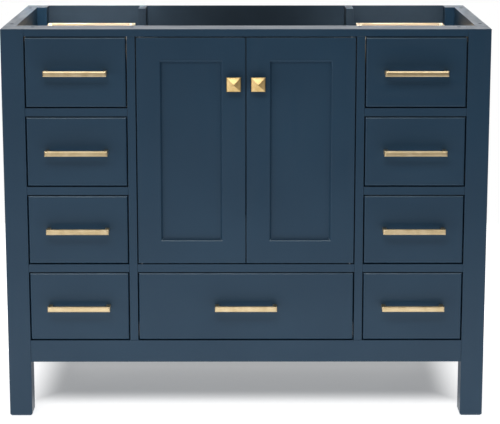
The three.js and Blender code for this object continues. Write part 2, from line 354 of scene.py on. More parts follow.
def paint(name, axis, deep, pale, satin, patchiness, gloss=0.33):
    """Sprayed paint with grain along an axis, between two colours, with a low and a high roughness."""
    finish = new_finish(name)
    shader_input(finish, "Specular IOR Level").default_value = gloss
    set_two_tone(finish, noise_pattern(finish, [patchiness] * 3, detail=4.0), deep, pale)
    vary_roughness(finish, noise_pattern(finish, along(axis, *SHEEN_SCALES), detail=4.0), *satin)
    peel = noise_pattern(finish, [PEEL_SCALE] * 3, detail=1.0)
    ridges = noise_pattern(finish, along(axis, *RIDGE_SCALES), detail=2.0)
    raise_surface(finish, [(peel, PEEL_HEIGHT), (ridges, RIDGE_HEIGHT)])
    return finish


NAVY_DEEP = (0.0165, 0.047, 0.086)
NAVY_PALE = (0.0195, 0.0545, 0.098)
# A much paler, glossier navy for the rounded upper edges: a painted highlight.
PAINTED_HIGHLIGHT_DEEP = (0.11, 0.175, 0.235)
PAINTED_HIGHLIGHT_PALE = (0.16, 0.24, 0.31)
INSIDE_DEEP = (0.024, 0.042, 0.064)
INSIDE_PALE = (0.036, 0.06, 0.086)
NAVY_SATIN = (0.34, 0.44)
INSIDE_SATIN = (0.5, 0.68)
PAINTED_HIGHLIGHT_SATIN = (0.26, 0.34)
navy = {axis: paint(f"navy_{axis}", axis, NAVY_DEEP, NAVY_PALE, NAVY_SATIN, patchiness=5.0)
        for axis in "xyz"}
inside = {axis: paint(f"inside_{axis}", axis, INSIDE_DEEP, INSIDE_PALE, INSIDE_SATIN, patchiness=8.0)
          for axis in "xyz"}
navy_painted_highlight = paint("navy_painted_highlight", "x", PAINTED_HIGHLIGHT_DEEP, PAINTED_HIGHLIGHT_PALE, PAINTED_HIGHLIGHT_SATIN, patchiness=40.0, gloss=0.6)
print("paints:", sorted(navy), sorted(inside), navy_painted_highlight.name)

# %% [markdown]
# ### Light wood
# The drawer boxes are pale hardwood under clear lacquer. Three patterns make the wood: broad soft
# bands for the growth rings, long fine streaks for the fibres, and short dark flecks for the pores.
# On the cut ends of a board the fibres point at the viewer, so end grain is darker and dotted.

# %% Choose the wood
WOOD_PALE = (0.87, 0.73, 0.54)
WOOD_WARM = (0.77, 0.6, 0.4)
WOOD_FIBRE = (0.86, 0.84, 0.8)
WOOD_FLECK = (0.4, 0.26, 0.15)
WOOD_SATIN = (0.38, 0.52)
FIBRE_HEIGHT = 0.03 * MM
END_DEEP = (0.3, 0.19, 0.11)
END_PALE = (0.52, 0.37, 0.23)
END_ARC = (0.82, 0.8, 0.76)
END_ROUGHNESS = 0.6
DOT_HEIGHT = 0.04 * MM


def pale_wood(name, axis):
    """Lacquered light wood with its grain along an axis."""
    finish = new_finish(name)
    rings = noise_pattern(finish, along(axis, 2.2, 38.0), detail=2.0, distortion=0.6)
    banded = colour_between(finish, rings, [(0.32, WOOD_WARM), (0.5, WOOD_PALE), (0.68, WOOD_WARM)])
    fibres = noise_pattern(finish, along(axis, 12.0, 700.0), detail=3.0)
    streaked = colour_between(finish, fibres, [(0.35, WOOD_FIBRE), (0.65, WHITE)])
    flecks = noise_pattern(finish, along(axis, 60.0, 1500.0), detail=1.0)
    flecked = colour_between(finish, flecks, [(0.27, WOOD_FLECK), (0.36, WHITE)])
    grained = mixed(finish, "MULTIPLY", 0.8, banded, streaked)
    set_colour(finish, mixed(finish, "MULTIPLY", 0.35, grained, flecked))
    vary_roughness(finish, fibres, *WOOD_SATIN)
    raise_surface(finish, [(fibres, FIBRE_HEIGHT)])
    return finish


def end_grain(name):
    """The darker, dotted cut ends of the same wood."""
    finish = new_finish(name)
    shader_input(finish, "Roughness").default_value = END_ROUGHNESS
    dots = noise_pattern(finish, [1100.0] * 3, detail=2.0)
    arcs = noise_pattern(finish, [40.0, 40.0, 260.0], detail=2.0)
    dotted = colour_between(finish, dots, [(0.35, END_DEEP), (0.6, END_PALE)])
    ringed = colour_between(finish, arcs, [(0.35, END_ARC), (0.6, WHITE)])
    set_colour(finish, mixed(finish, "MULTIPLY", 0.9, dotted, ringed))
    raise_surface(finish, [(dots, DOT_HEIGHT)])
    return finish


wood = {axis: pale_wood(f"wood_{axis}", axis) for axis in "xyz"}
wood_end = end_grain("wood_end")
print("wood:", sorted(wood), wood_end.name)

# %% [markdown]
# ### Metals and nylon
# The pulls and knobs are solid brass, brushed to a satin and lacquered. The pulls' brass is painted
# paler than the knobs', a lit copy of the same metal that stands in for the light they catch. Brushing
# leaves fine parallel scratches, so the roughness and a very small relief follow a pattern that is
# drawn out along the brushing. Slides, hinges and screws are zinc-plated steel, duller and slightly
# mottled.

# %% Mix the metals
SCRATCH_SCALES = (25.0, 3200.0)
SCRATCH_HEIGHT = 0.012 * MM
NYLON_SATIN = (0.38, 0.5)
NYLON_TONE_SCALE = 90.0
NYLON_GRAIN_SCALE = 2600.0
NYLON_GRAIN_HEIGHT = 0.02 * MM


def brushed_metal(name, axis, deep, bright, satin, mottling):
    """Metal with fine scratches along an axis, between two colours and two roughnesses."""
    finish = new_finish(name, metallic=1.0)
    set_two_tone(finish, noise_pattern(finish, [mottling] * 3, detail=3.0), deep, bright)
    scratches = noise_pattern(finish, along(axis, *SCRATCH_SCALES), detail=3.0)
    vary_roughness(finish, scratches, *satin)
    raise_surface(finish, [(scratches, SCRATCH_HEIGHT)])
    return finish


def moulded_nylon(name, deep, pale):
    """A moulded plastic with a fine matt texture."""
    finish = new_finish(name)
    set_two_tone(finish, noise_pattern(finish, [NYLON_TONE_SCALE] * 3, detail=2.0), deep, pale)
    grains = noise_pattern(finish, [NYLON_GRAIN_SCALE] * 3, detail=1.0)
    vary_roughness(finish, grains, *NYLON_SATIN)
    raise_surface(finish, [(grains, NYLON_GRAIN_HEIGHT)])
    return finish


# The pulls' brass is a paler, lit copy of the knobs' brass: painted brightness for the light on the pulls.
PULL_LIT_DEEP = (0.74, 0.57, 0.32)
PULL_LIT_BRIGHT = (0.88, 0.71, 0.45)
BRASS_DEEP = (0.55, 0.38, 0.155)
BRASS_BRIGHT = (0.68, 0.49, 0.23)
ZINC_DEEP = (0.44, 0.45, 0.46)
ZINC_BRIGHT = (0.62, 0.63, 0.64)
NYLON_DEEP = (0.62, 0.61, 0.58)
NYLON_PALE = (0.72, 0.71, 0.68)
brass_level_lit = brushed_metal("brass_level_lit", "x", PULL_LIT_DEEP, PULL_LIT_BRIGHT, satin=(0.34, 0.46), mottling=60.0)
brass_upright = brushed_metal("brass_upright", "z", BRASS_DEEP, BRASS_BRIGHT, satin=(0.32, 0.42),
                              mottling=90.0)
zinc = brushed_metal("zinc", "y", ZINC_DEEP, ZINC_BRIGHT, satin=(0.3, 0.46), mottling=240.0)
nylon = moulded_nylon("nylon", NYLON_DEEP, NYLON_PALE)
print("metals:", brass_level_lit.name, brass_upright.name, zinc.name, nylon.name)

# %% [markdown]
# ## Tools for pieces
# No real edge is perfectly sharp, and a softened edge catches a thin line of light that makes a thing
# look solid. The CAD pieces have sharp edges. An eased copy keeps the CAD piece's outline and rounds
# each edge inwards by a fraction of a millimetre: its loose triangles are merged, flat areas become
# single faces, and a bevel runs along the edges that are left. The CAD piece is then hidden, and the
# copy stands for it.

# %% Finish a piece
made = []


def limits(node):
    """A CAD piece's lowest and highest corner, as two vectors in metres."""
    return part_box(node)


def finish_piece(name, shape, finishes, body, slot, *nodes, smooth_below=None):
    """Turns a bmesh into a piece that rides on a body and stands for the CAD pieces named last.

    The slot, a finish name or None, is not used."""
    data = bpy.data.meshes.new(name)
    shape.to_mesh(data)
    shape.free()
    for finish in finishes:
        data.materials.append(finish)
    if smooth_below is not None:
        data.shade_smooth()
        data.set_sharp_from_angle(angle=math.radians(smooth_below))
    piece = bpy.data.objects.new(name, data)
    bpy.context.scene.collection.objects.link(piece)
    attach(piece, body)
    if nodes:
        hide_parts(*nodes)
    made.append(piece)
    return piece


front_low, front_high = limits("drawer_front_centre")
print("wide drawer front in mm:", [round(value / MM, 1) for value in front_high - front_low])

# %% Ease a CAD piece
SHARP = 0.44  # in radians, about 25 degrees
MERGE_DISTANCE = 0.002 * MM
FLAT_WITHIN = math.radians(1.0)
HIGHLIGHT_UPWARD = 0.3


def sharp_edges(shape, edges=None):
    """The edges where faces turn by over 25 degrees, which leaves out those along a hole's wall."""
    chosen = shape.edges if edges is None else edges
    return [edge for edge in chosen if len(edge.link_faces) == 2 and edge.calc_face_angle() > SHARP]


def ease(shape, edges, width, segments=2, material=-1):
    """Rounds edges over to the given width, in metres, with a finish of their own if one is given."""
    bmesh.ops.bevel(shape, geom=edges, offset=width, offset_type="OFFSET", segments=segments,
                    profile=0.5, affect="EDGES", clamp_overlap=True, material=material)


def merged_copy(node):
    """A CAD piece as a bmesh, with its doubles merged and its flat areas joined."""
    shape = bmesh.new()
    shape.from_mesh(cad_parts[node].data)
    bmesh.ops.remove_doubles(shape, verts=shape.verts, dist=MERGE_DISTANCE)
    bmesh.ops.dissolve_limit(shape, angle_limit=FLAT_WITHIN, verts=shape.verts, edges=shape.edges)
    return shape


def eased_copy(node, width, finish, body, slot, segments=2, highlight_finish=None, **rest):
    """A piece like the CAD piece of the same name, with its edges rounded.

    The rounded edges that face upwards may get a much paler paint, a painted highlight."""
    shape = merged_copy(node)
    finishes = [finish] if highlight_finish is None else [finish, highlight_finish]
    ease(shape, sharp_edges(shape), width, segments, material=-1 if highlight_finish is None else 1)
    # Only the rounded edges that face upwards keep the paler paint: a painted highlight along the top.
    for face in shape.faces:
        if face.normal.z < HIGHLIGHT_UPWARD:
            face.material_index = 0
    finish_piece(f"{node}_finished", shape, finishes, body, slot, node, **rest)


trial = merged_copy("knob_left")
print("knob edges:", len(trial.edges), "of which sharp:", len(sharp_edges(trial)))
trial.free()


# %% Add boards, prisms and rods to a shape
def all_edges(faces):
    """Every edge of some faces, once, in the order of the faces."""
    return list(dict.fromkeys(edge for face in faces for edge in face.edges))


def faces_at(corners):
    """Every face that meets some corners, once, in the order of the corners."""
    return list(dict.fromkeys(face for corner in corners for face in corner.link_faces))


def add_board(shape, low, high, width=0.4 * MM, material=0):
    """A cuboid between two corners with its edges eased."""
    low, high = Vector(low), Vector(high)
    corners = bmesh.ops.create_cube(shape, size=1.0)["verts"]
    for corner in corners:
        corner.co = [low[i] + (corner.co[i] + 0.5) * (high[i] - low[i]) for i in range(3)]
    faces = faces_at(corners)
    for face in faces:
        face.material_index = material
    if width:
        ease(shape, all_edges(faces), width)


def add_prism(shape, outline, axis, start, end, width=0.0, material=0, end_material=None):
    """An outline pushed along an axis. Its points give the other two axes, in the order x, y, z."""
    index = "xyz".index(axis)

    def point(pair, along_axis):
        values = list(pair)
        values.insert(index, along_axis)
        return values

    first = [shape.verts.new(point(pair, start)) for pair in outline]
    last = [shape.verts.new(point(pair, end)) for pair in outline]
    ends = [shape.faces.new(first), shape.faces.new(last)]
    walls = [shape.faces.new((first[i - 1], first[i], last[i], last[i - 1])) for i in range(len(outline))]
    for face in walls:
        face.material_index = material
    for face in ends:
        face.material_index = material if end_material is None else end_material
    bmesh.ops.recalc_face_normals(shape, faces=ends + walls)
    if width:
        ease(shape, sharp_edges(shape, all_edges(ends + walls)), width, 1)


def add_rod(shape, centre, axis, length, radius, segments=20, width=0.0, material=0):
    """A round rod with its middle at a point, along an axis."""
    turn = {"x": ("Y", math.pi / 2), "y": ("X", math.pi / 2), "z": ("Z", 0.0)}[axis]
    place = Matrix.Translation(centre) @ Matrix.Rotation(turn[1], 4, turn[0])
    rod = bmesh.ops.create_cone(shape, cap_ends=True, segments=segments, radius1=radius,
                                radius2=radius, depth=length, matrix=place)["verts"]
    faces = faces_at(rod)
    for face in faces:
        face.material_index = material
    if width:
        ease(shape, sharp_edges(shape, all_edges(faces)), width, 2)


trial = bmesh.new()
add_board(trial, (0.0, 0.0, 0.0), (1.0, 1.0, 1.0))
print("faces of an eased board:", len(trial.faces))
trial.free()

# %% [markdown]
# ## Posts and face frame
# Four posts run from the floor to the countertop, and their feet are chamfered so that they don't
# splinter when the cabinet is pushed along. Between the front posts a joiner fits a top rail, a wide
# bottom apron, two mullions and short divider rails, all flush in front. Each member is its own piece
# of wood, and a hairline shows where two of them meet under the paint. Easing each member by half a
# millimetre gives those hairlines for free. Grain runs up the posts and mullions and along the rails.

# %% Ease the posts and the face frame
POST_EASE = 0.7 * MM
FRAME_EASE = 0.5 * MM

for side in SIDES:
    for end in ("front", "rear"):
        eased_copy(f"leg_{end}_{side}", POST_EASE, navy["z"], "root", "navy_paint", segments=3)
    eased_copy(f"mullion_{side}", FRAME_EASE, navy["z"], "root", "navy_paint")
    for row in ROWS[:-1]:
        eased_copy(f"divider_rail_{side}_{row}", FRAME_EASE, navy["x"], "root", "navy_paint")
for rail in ("top_rail", "bottom_apron", "divider_rail_centre"):
    eased_copy(rail, FRAME_EASE, navy["x"], "root", "navy_paint")
print("frame pieces:", len(made))

# %% [markdown]
# ## Carcass
# Behind the face frame are the thin back, the bottom, two partitions that carry the drawer slides, the
# floor behind the doors, and a flat stretcher that the countertop is screwed to. They are flat boards
# from a panel saw with crisp edges, so a very small ease is enough. The notch in each partition and
# the screw holes in the stretcher are already in the CAD pieces, and easing gives the holes a small
# countersink.

# %% Ease the carcass boards
BOARD_EASE = 0.4 * MM

for node, finish, slot in (
    ("front_stretcher", navy["x"], "navy_paint"),
    ("back_panel", inside["x"], "inside_paint"),
    ("bottom_panel", inside["x"], "inside_paint"),
    ("compartment_floor", inside["x"], "inside_paint"),
    ("partition_left", inside["z"], "inside_paint"),
    ("partition_right", inside["z"], "inside_paint"),
):
    eased_copy(node, BOARD_EASE, finish, "root", slot)
print("pieces so far:", len(made))

# %% [markdown]
# ### Framed sides
# Each side is a frame of two stiles and two rails round a flat panel. The CAD piece is one solid, so
# the members are made here one by one, which gives the hairlines between them. A Boolean modifier
# drills the two countertop holes down from the top edge, as a drill would, and is then applied.

# %% Build the sides from their members
SIDE_STILE = 40 * MM
HAIRLINE = 0.05 * MM
SIDE_RECESS = 6 * MM
SIDE_PANEL_THICKNESS = 12 * MM
TOP_HOLE_RADIUS = 5 * MM
TOP_HOLE_DEPTH = 30 * MM
TOP_HOLE_INSET = 12 * MM
TOP_HOLE_SEGMENTS = 24
OVERCUT = 1 * MM
HOLE_SETBACKS = (114 * MM, 68 * MM)


def drilled(piece, drill):
    """Cuts a bmesh drill out of a piece, and keeps the result as its plain mesh."""
    data = bpy.data.meshes.new("drill")
    drill.to_mesh(data)
    drill.free()
    cutter = bpy.data.objects.new("drill", data)
    bpy.context.scene.collection.objects.link(cutter)
    cut = piece.modifiers.new("drill", "BOOLEAN")
    cut.operation = "DIFFERENCE"
    cut.solver = "EXACT"
    cut.object = cutter
    graph = bpy.context.evaluated_depsgraph_get()
    result = bpy.data.meshes.new_from_object(piece.evaluated_get(graph))
    piece.modifiers.clear()
    piece.data = result
    bpy.data.objects.remove(cutter)


def framed_side(side, sign):
    """One side of the cabinet: two stiles, two rails and the panel between them."""
    low, high = limits(f"side_panel_{side}")
    front, rear = low.y + SIDE_STILE, high.y - SIDE_STILE
    base, top = low.z + SIDE_STILE, high.z - SIDE_STILE
    shape = bmesh.new()
    add_board(shape, low, (high.x, front - HAIRLINE, high.z), material=1)
    add_board(shape, (low.x, rear + HAIRLINE, low.z), high, material=1)
    add_board(shape, (low.x, front, low.z), (high.x, rear, base - HAIRLINE))
    add_board(shape, (low.x, front, top + HAIRLINE), (high.x, rear, high.z))
    outer = high.x if sign > 0 else low.x
    faces = sorted((outer - sign * SIDE_RECESS, outer - sign * (SIDE_RECESS + SIDE_PANEL_THICKNESS)))
    add_board(shape, (faces[0], front + HAIRLINE, base), (faces[1], rear - HAIRLINE, top),
              width=0.0, material=1)
    piece = finish_piece(f"side_panel_{side}_finished", shape, [navy["y"], navy["z"]], "root",
                         "navy_paint", f"side_panel_{side}")
    drill = bmesh.new()
    for y in (cad_front + HOLE_SETBACKS[0], cad_back - HOLE_SETBACKS[1]):
        centre = (outer - sign * TOP_HOLE_INSET, y, high.z - TOP_HOLE_DEPTH / 2 + OVERCUT)
        add_rod(drill, centre, "z", TOP_HOLE_DEPTH + 2 * OVERCUT, TOP_HOLE_RADIUS, segments=TOP_HOLE_SEGMENTS)
    drilled(piece, drill)


cad_front = limits("leg_front_left")[0].y
cad_back = limits("leg_rear_left")[1].y
for side, sign in SIDES.items():
    framed_side(side, sign)
print("side members drilled at", [round(value / MM) for value in HOLE_SETBACKS], "mm")

# %% [markdown]
# ### Corner blocks
# Under the bottom, a triangular block is glued into each corner to keep the posts square. A prism with
# a three-point outline is all that such a block needs.

# %% Glue in the corner blocks
BLOCK_REACH = 62 * MM
BLOCK_CLEAR = 0.3 * MM
BLOCK_RAISE = 6 * MM
BLOCK_EASE = 0.6 * MM

bottom_low = limits("bottom_panel")[0]
apron_low, apron_high = limits("bottom_apron")
blocks = bmesh.new()
for side, sign in SIDES.items():
    post_face = limits(f"leg_front_{side}")[0].x if sign > 0 else limits(f"leg_front_{side}")[1].x
    x = post_face - sign * BLOCK_CLEAR
    front = apron_high.y + BLOCK_CLEAR
    rear = limits("back_panel")[0].y - BLOCK_CLEAR
    for y, reach in ((front, BLOCK_REACH), (rear, -BLOCK_REACH)):
        outline = [(x, y), (x - sign * BLOCK_REACH, y), (x, y + reach)]
        add_prism(blocks, outline, "z", apron_low.z + BLOCK_RAISE, bottom_low.z - BLOCK_CLEAR,
                  width=BLOCK_EASE)
finish_piece("corner_blocks", blocks, [inside["z"]], "root", "inside_paint")
print("corner block height in mm:", round((bottom_low.z - apron_low.z - BLOCK_RAISE) / MM))

# %% [markdown]
# ### Rails over the upper drawers
# A drawer that is pulled out far tips forward, as its back end lifts. A slim rail under the stretcher,
# just above the upper box in each side bay, holds it down. It also keeps light from the open top out
# of the gap over the drawer front.

# %% Fit the hold-down rails
HOLD_DOWN_DEPTH = 12 * MM
HOLD_DOWN_CLEAR = 1.0 * MM
HOLD_DOWN_GAP = 0.2 * MM

stretcher_low = limits("front_stretcher")[0]
hold_downs = bmesh.new()
for side in SIDES:
    front_low, front_high = limits(f"drawer_front_{side}_1")
    box_top = limits(f"drawer_box_{side}_1")[1].z
    rail_front = front_high.y + HOLD_DOWN_CLEAR
    add_board(hold_downs, (front_low.x, rail_front, box_top + HOLD_DOWN_CLEAR),
              (front_high.x, rail_front + HOLD_DOWN_DEPTH, stretcher_low.z - HOLD_DOWN_GAP))
finish_piece("hold_down_rails", hold_downs, [inside["x"]], "root", "inside_paint")
print("hold-down rail height in mm:", round((stretcher_low.z - box_top - HOLD_DOWN_CLEAR) / MM, 1))

# %% [markdown]
# ## Doors
# Each door is a frame of stiles and rails with a flat panel let into a groove, and the inner edge of
# the frame slopes down to the panel. The outer edges are rounded by about a millimetre, and the rounded
# edges that face upwards get the paler paint, a painted highlight, so each door shows a thin bright
# line along its top. The panel floats in its groove and isn't glued.

# %% Ease the doors
DOOR_EASE = 0.9 * MM
PANEL_EASE = 0.3 * MM
HINGE_EASE = 0.2 * MM

for side in SIDES:
    body = f"door_{side}"
    eased_copy(f"door_frame_{side}", DOOR_EASE, navy["z"], body, "navy_paint", segments=3,
               highlight_finish=navy_painted_highlight)
    eased_copy(f"door_panel_{side}", PANEL_EASE, navy["z"], body, "navy_paint")
    for end in ("top", "bottom"):
        eased_copy(f"pivot_hinge_{side}_{end}", HINGE_EASE, zinc, body, "hinge_steel", smooth_below=30)
print("door height in mm:", round((limits("door_frame_left")[1].z - limits("door_frame_left")[0].z) / MM, 1))

# %% [markdown]
# ## Drawer fronts
# Each front is one thick slab set into its opening, with a small chamfer round its face. Rounding the
# two sides of that chamfer turns it into the soft edge that a sander and three coats of paint leave.

# %% Ease the drawer fronts
FRONT_EASE = 0.9 * MM
DRAWERS = [f"{side}_{row}" for side in SIDES for row in ROWS] + ["centre"]

for name in DRAWERS:
    # The rounded edges that face upwards get the paler paint: a painted highlight along each front's top.
    eased_copy(f"drawer_front_{name}", FRONT_EASE, navy["x"], f"drawer_{name}", "navy_paint",
               highlight_finish=navy_painted_highlight)
print("drawer fronts:", len(DRAWERS))

# %% [markdown]
# ## Drawer boxes
# A good drawer box is dovetailed: the ends of its sides are cut into tails that flare outwards, and
# the front and back have pins between them, so that pulling on the front can't draw the corner apart.
# From the side one sees the tails, with the end grain of the pins between them.
#
# The CAD box is one plain shell, so the boards are made here. A side's outline in the y-z plane has
# its tails at both ends and is pushed along x by the wall's thickness. The front and back are plain
# boards between the sides, with pins that fill the gaps between the tails. The floor board sits in a
# groove above the lower edge.

# %% Work out the dovetails
WALL = 12 * MM
TAIL_COUNT = 4
TAIL_SHARE = 0.56
TAIL_SLOPE = 1 / 6
JOINT_GAP = 0.12 * MM


def tail_levels(base, top):
    """For each tail: its low and high edge at its root, then its low and high edge at its tip."""
    pitch = (top - base) / TAIL_COUNT
    half_root = pitch * TAIL_SHARE / 2
    half_tip = half_root + WALL * TAIL_SLOPE
    middles = [base + pitch * (index + 0.5) for index in range(TAIL_COUNT)]
    return [(z - half_root, z + half_root, z - half_tip, z + half_tip) for z in middles]


def side_outline(front, rear, base, top):
    """A side board seen from the side, in y and z, tails and all."""
    levels = tail_levels(base, top)
    outline = [(front + WALL, base)]
    for low_root, high_root, low_tip, high_tip in levels:
        outline += [(front + WALL, low_root), (front, low_tip), (front, high_tip), (front + WALL, high_root)]
    outline += [(front + WALL, top), (rear - WALL, top)]
    for low_root, high_root, low_tip, high_tip in reversed(levels):
        outline += [(rear - WALL, high_root), (rear, high_tip), (rear, low_tip), (rear - WALL, low_root)]
    return outline + [(rear - WALL, base)]


def pin_outlines(root, tip, base, top):
    """The pins between the tails at one end of a side, in y and z."""
    levels = tail_levels(base, top)
    roots = [base - JOINT_GAP] + [value for level in levels for value in level[:2]] + [top + JOINT_GAP]
    tips = [base - JOINT_GAP] + [value for level in levels for value in level[2:]] + [top + JOINT_GAP]
    pins = []
    for index in range(0, len(roots), 2):
        low, high = index, index + 1
        pins.append([(root, roots[low] + JOINT_GAP), (tip, tips[low] + JOINT_GAP),
                     (tip, tips[high] - JOINT_GAP), (root, roots[high] - JOINT_GAP)])
    return pins


print("tails at each corner:", TAIL_COUNT, "sloping 1 in", round(1 / TAIL_SLOPE))

# %% Build the drawer boxes
FLOOR_RAISE = 12 * MM
FLOOR_THICKNESS = 6 * MM
GROOVE_DEPTH = 5 * MM
BOX_EASE = 0.35 * MM


def drawer_box(name):
    """Two sides, a front, a back and a floor board, in one piece that slides with the drawer."""
    low, high = limits(f"drawer_box_{name}")
    shape = bmesh.new()
    outline = side_outline(low.y, high.y, low.z, high.z)
    for start in (low.x, high.x - WALL):
        add_prism(shape, outline, "x", start, start + WALL, width=BOX_EASE)
    inner_x = (low.x + WALL + JOINT_GAP, high.x - WALL - JOINT_GAP)
    for tip, root in ((low.y, low.y + WALL), (high.y, high.y - WALL)):
        near, far = sorted((tip, root))
        add_board(shape, (inner_x[0], near, low.z), (inner_x[1], far, high.z), width=BOX_EASE, material=1)
        for pin in pin_outlines(root, tip, low.z, high.z):
            for start, end in ((low.x, inner_x[0]), (inner_x[1], high.x)):
                add_prism(shape, pin, "x", start, end, material=1, end_material=2)
    inset = WALL - GROOVE_DEPTH
    floor_z = low.z + FLOOR_RAISE
    add_board(shape, (low.x + inset, low.y + inset, floor_z),
              (high.x - inset, high.y - inset, floor_z + FLOOR_THICKNESS), width=0.0)
    finishes = [wood["y"], wood["x"], wood_end]
    return finish_piece(f"drawer_box_{name}_boards", shape, finishes, f"drawer_{name}", "drawer_wood",
                        f"drawer_box_{name}")


for name in DRAWERS:
    box = drawer_box(name)
print("faces in a drawer box:", len(box.data.polygons))

# %% [markdown]
# ## Pulls and knobs
# The pulls are square brass bars with a bevel round the front face, on two short posts. The knobs are
# low pyramids on a square plate. Both are solid brass with crisp arrises, so the edges are eased by
# only a third of a millimetre, which is enough for each one to catch the light. Where a knob's slopes
# meet the sides of its plate, a wider flat rim is cut first. Those four edges are found by how far the
# faces on each side of them lean.

# %% Ease the brass
BRASS_EASE = 0.35 * MM
RIM_WIDTH = 1.5 * MM
SLOPE_LEAN = (-0.95, -0.7)
SIDE_LEAN = 0.05


def borders_slope_and_side(edge):
    """Whether an edge lies between a slope of the pyramid and a side of its square plate."""
    leans = sorted(face.normal.y for face in edge.link_faces)
    return SLOPE_LEAN[0] < leans[0] < SLOPE_LEAN[1] and abs(leans[1]) < SIDE_LEAN


for name in DRAWERS:
    eased_copy(f"pull_{name}", BRASS_EASE, brass_level_lit, f"drawer_{name}", "brushed_brass")
for side in SIDES:
    knob = merged_copy(f"knob_{side}")
    rim = [edge for edge in knob.edges if edge.is_manifold and borders_slope_and_side(edge)]
    ease(knob, rim, RIM_WIDTH, segments=1)
    ease(knob, sharp_edges(knob), BRASS_EASE)
    finish_piece(f"knob_{side}_finished", knob, [brass_upright], f"door_{side}", "brushed_brass",
                 f"knob_{side}", smooth_below=20)
    print(f"knob_{side}: rim cut along", len(rim), "edges")
print("pull length in mm:", round((limits("pull_left_1")[1].x - limits("pull_left_1")[0].x) / MM))

# %% [markdown]
# ## Drawer slides
# Each drawer runs on a pair of steel slides under its sides. The cabinet's half is a strip that is
# screwed to the wall of the bay and bent into a track at its foot, with nylon rollers in it. The
# drawer's half is an upside-down channel under the drawer's side, and it leaves with the drawer.
# Beside the posts the bay is narrower than the carcass, so a wooden cleat fills the space between.
#
# A slide is one cross-section pushed along y, and each cabinet has eighteen of them. They repeat, so
# one of each half is modelled and Geometry Nodes copy it to every place.

# %% Find the walls and floor of each bay
def bay(name):
    """Where a drawer's bay has its left and right wall, in x, and its floor, in z."""
    low, high = limits(f"drawer_front_{name}")
    return low.x - REVEAL, high.x + REVEAL, low.z - REVEAL


REVEAL = 2.5 * MM
SLIDE_SETBACK = 1.0 * MM
slide_front = limits("mullion_left")[1].y + SLIDE_SETBACK
slide_rear = limits("drawer_box_left_1")[1].y
for name in DRAWERS[::4]:
    print(name, "bay walls and floor in mm:", [round(value / MM, 1) for value in bay(name)])

# %% Cut the cleats
CLEAT_HEIGHT = 44 * MM
CLEAT_GAP = 0.5 * MM
CLEAT_EASE = 1.0 * MM

cleats = bmesh.new()
for side, sign in SIDES.items():
    side_low, side_high = limits(f"side_panel_{side}")
    post_low, post_high = limits(f"leg_front_{side}")
    carcass_face = side_low.x if sign > 0 else side_high.x
    bay_face = post_low.x if sign > 0 else post_high.x
    x0, x1 = sorted((carcass_face - sign * CLEAT_GAP, bay_face))
    for row in ROWS:
        base = bay(f"{side}_{row}")[2] + CLEAT_GAP
        add_board(cleats, (x0, side_low.y + CLEAT_GAP, base),
                  (x1, side_high.y - CLEAT_GAP, base + CLEAT_HEIGHT), width=CLEAT_EASE)
finish_piece("slide_cleats", cleats, [wood["y"]], "root", "drawer_wood")
print("cleat size in mm:", [round((x1 - x0) / MM, 1), round(CLEAT_HEIGHT / MM)])

# %% Model one of each half of a slide
STRIP = 1.2 * MM
STRIP_HEIGHT = 36 * MM
TRACK_WIDTH = 23 * MM
TRACK_LIP = 6 * MM
SLIDE_LIFT = 1.0 * MM
BOX_GAP = 7.5 * MM
CAP_LOW = 5.0 * MM
CAP_HIGH = 13.8 * MM
CAP_INSET = 0.2 * MM
TRACK_GAP = 0.3 * MM
STRIP_EASE = 0.25 * MM
ROLLER_RADIUS = 4.6 * MM
ROLLER_WIDTH = 7.4 * MM
ROLLER_EASE = 0.8 * MM
ROLLER_GAP = 0.1 * MM


def hidden_shape(name, shape, finish):
    """A mesh that Geometry Nodes copy. It is removed once the copies are made."""
    data = bpy.data.meshes.new(name)
    shape.to_mesh(data)
    shape.free()
    data.materials.append(finish)
    return bpy.data.objects.new(name, data)


half_length = (slide_rear - slide_front) / 2
track_shape = bmesh.new()
track_outline = [
    (TRACK_GAP, STRIP_HEIGHT), (TRACK_GAP + STRIP, STRIP_HEIGHT), (TRACK_GAP + STRIP, SLIDE_LIFT + STRIP),
    (TRACK_WIDTH - STRIP, SLIDE_LIFT + STRIP), (TRACK_WIDTH - STRIP, TRACK_LIP),
    (TRACK_WIDTH, TRACK_LIP), (TRACK_WIDTH, SLIDE_LIFT), (TRACK_GAP, SLIDE_LIFT),
]
add_prism(track_shape, track_outline, "y", -half_length, half_length, width=STRIP_EASE)
cap_x = (BOX_GAP + CAP_INSET, BOX_GAP + WALL - CAP_INSET)
cap_shape = bmesh.new()
cap_outline = [
    (cap_x[0], CAP_LOW), (cap_x[0], CAP_HIGH), (cap_x[1], CAP_HIGH), (cap_x[1], CAP_LOW),
    (cap_x[1] - STRIP, CAP_LOW), (cap_x[1] - STRIP, CAP_HIGH - STRIP),
    (cap_x[0] + STRIP, CAP_HIGH - STRIP), (cap_x[0] + STRIP, CAP_LOW),
]
add_prism(cap_shape, cap_outline, "y", -half_length, half_length, width=STRIP_EASE)
roller_shape = bmesh.new()
roller_level = SLIDE_LIFT + STRIP + ROLLER_RADIUS + ROLLER_GAP
add_rod(roller_shape, (sum(cap_x) / 2, 0.0, roller_level), "x", ROLLER_WIDTH, ROLLER_RADIUS,
        width=ROLLER_EASE)
track = hidden_shape("slide_track", track_shape, zinc)
cap = hidden_shape("slide_cap", cap_shape, zinc)
roller = hidden_shape("slide_roller", roller_shape, nylon)
print("slide length in mm:", round(2 * half_length / MM))

# %% [markdown]
# ### One tree that copies a shape to many places
# The places are the points of a small mesh, and each point carries a turn. The tree takes the shape,
# its size and its finish as named inputs, puts a copy on each point, and adds a random twist about the
# copy's own axis, which screws need because no two stop at the same angle. The random values have a
# fixed seed. Last, the copies are made real and get their finish.

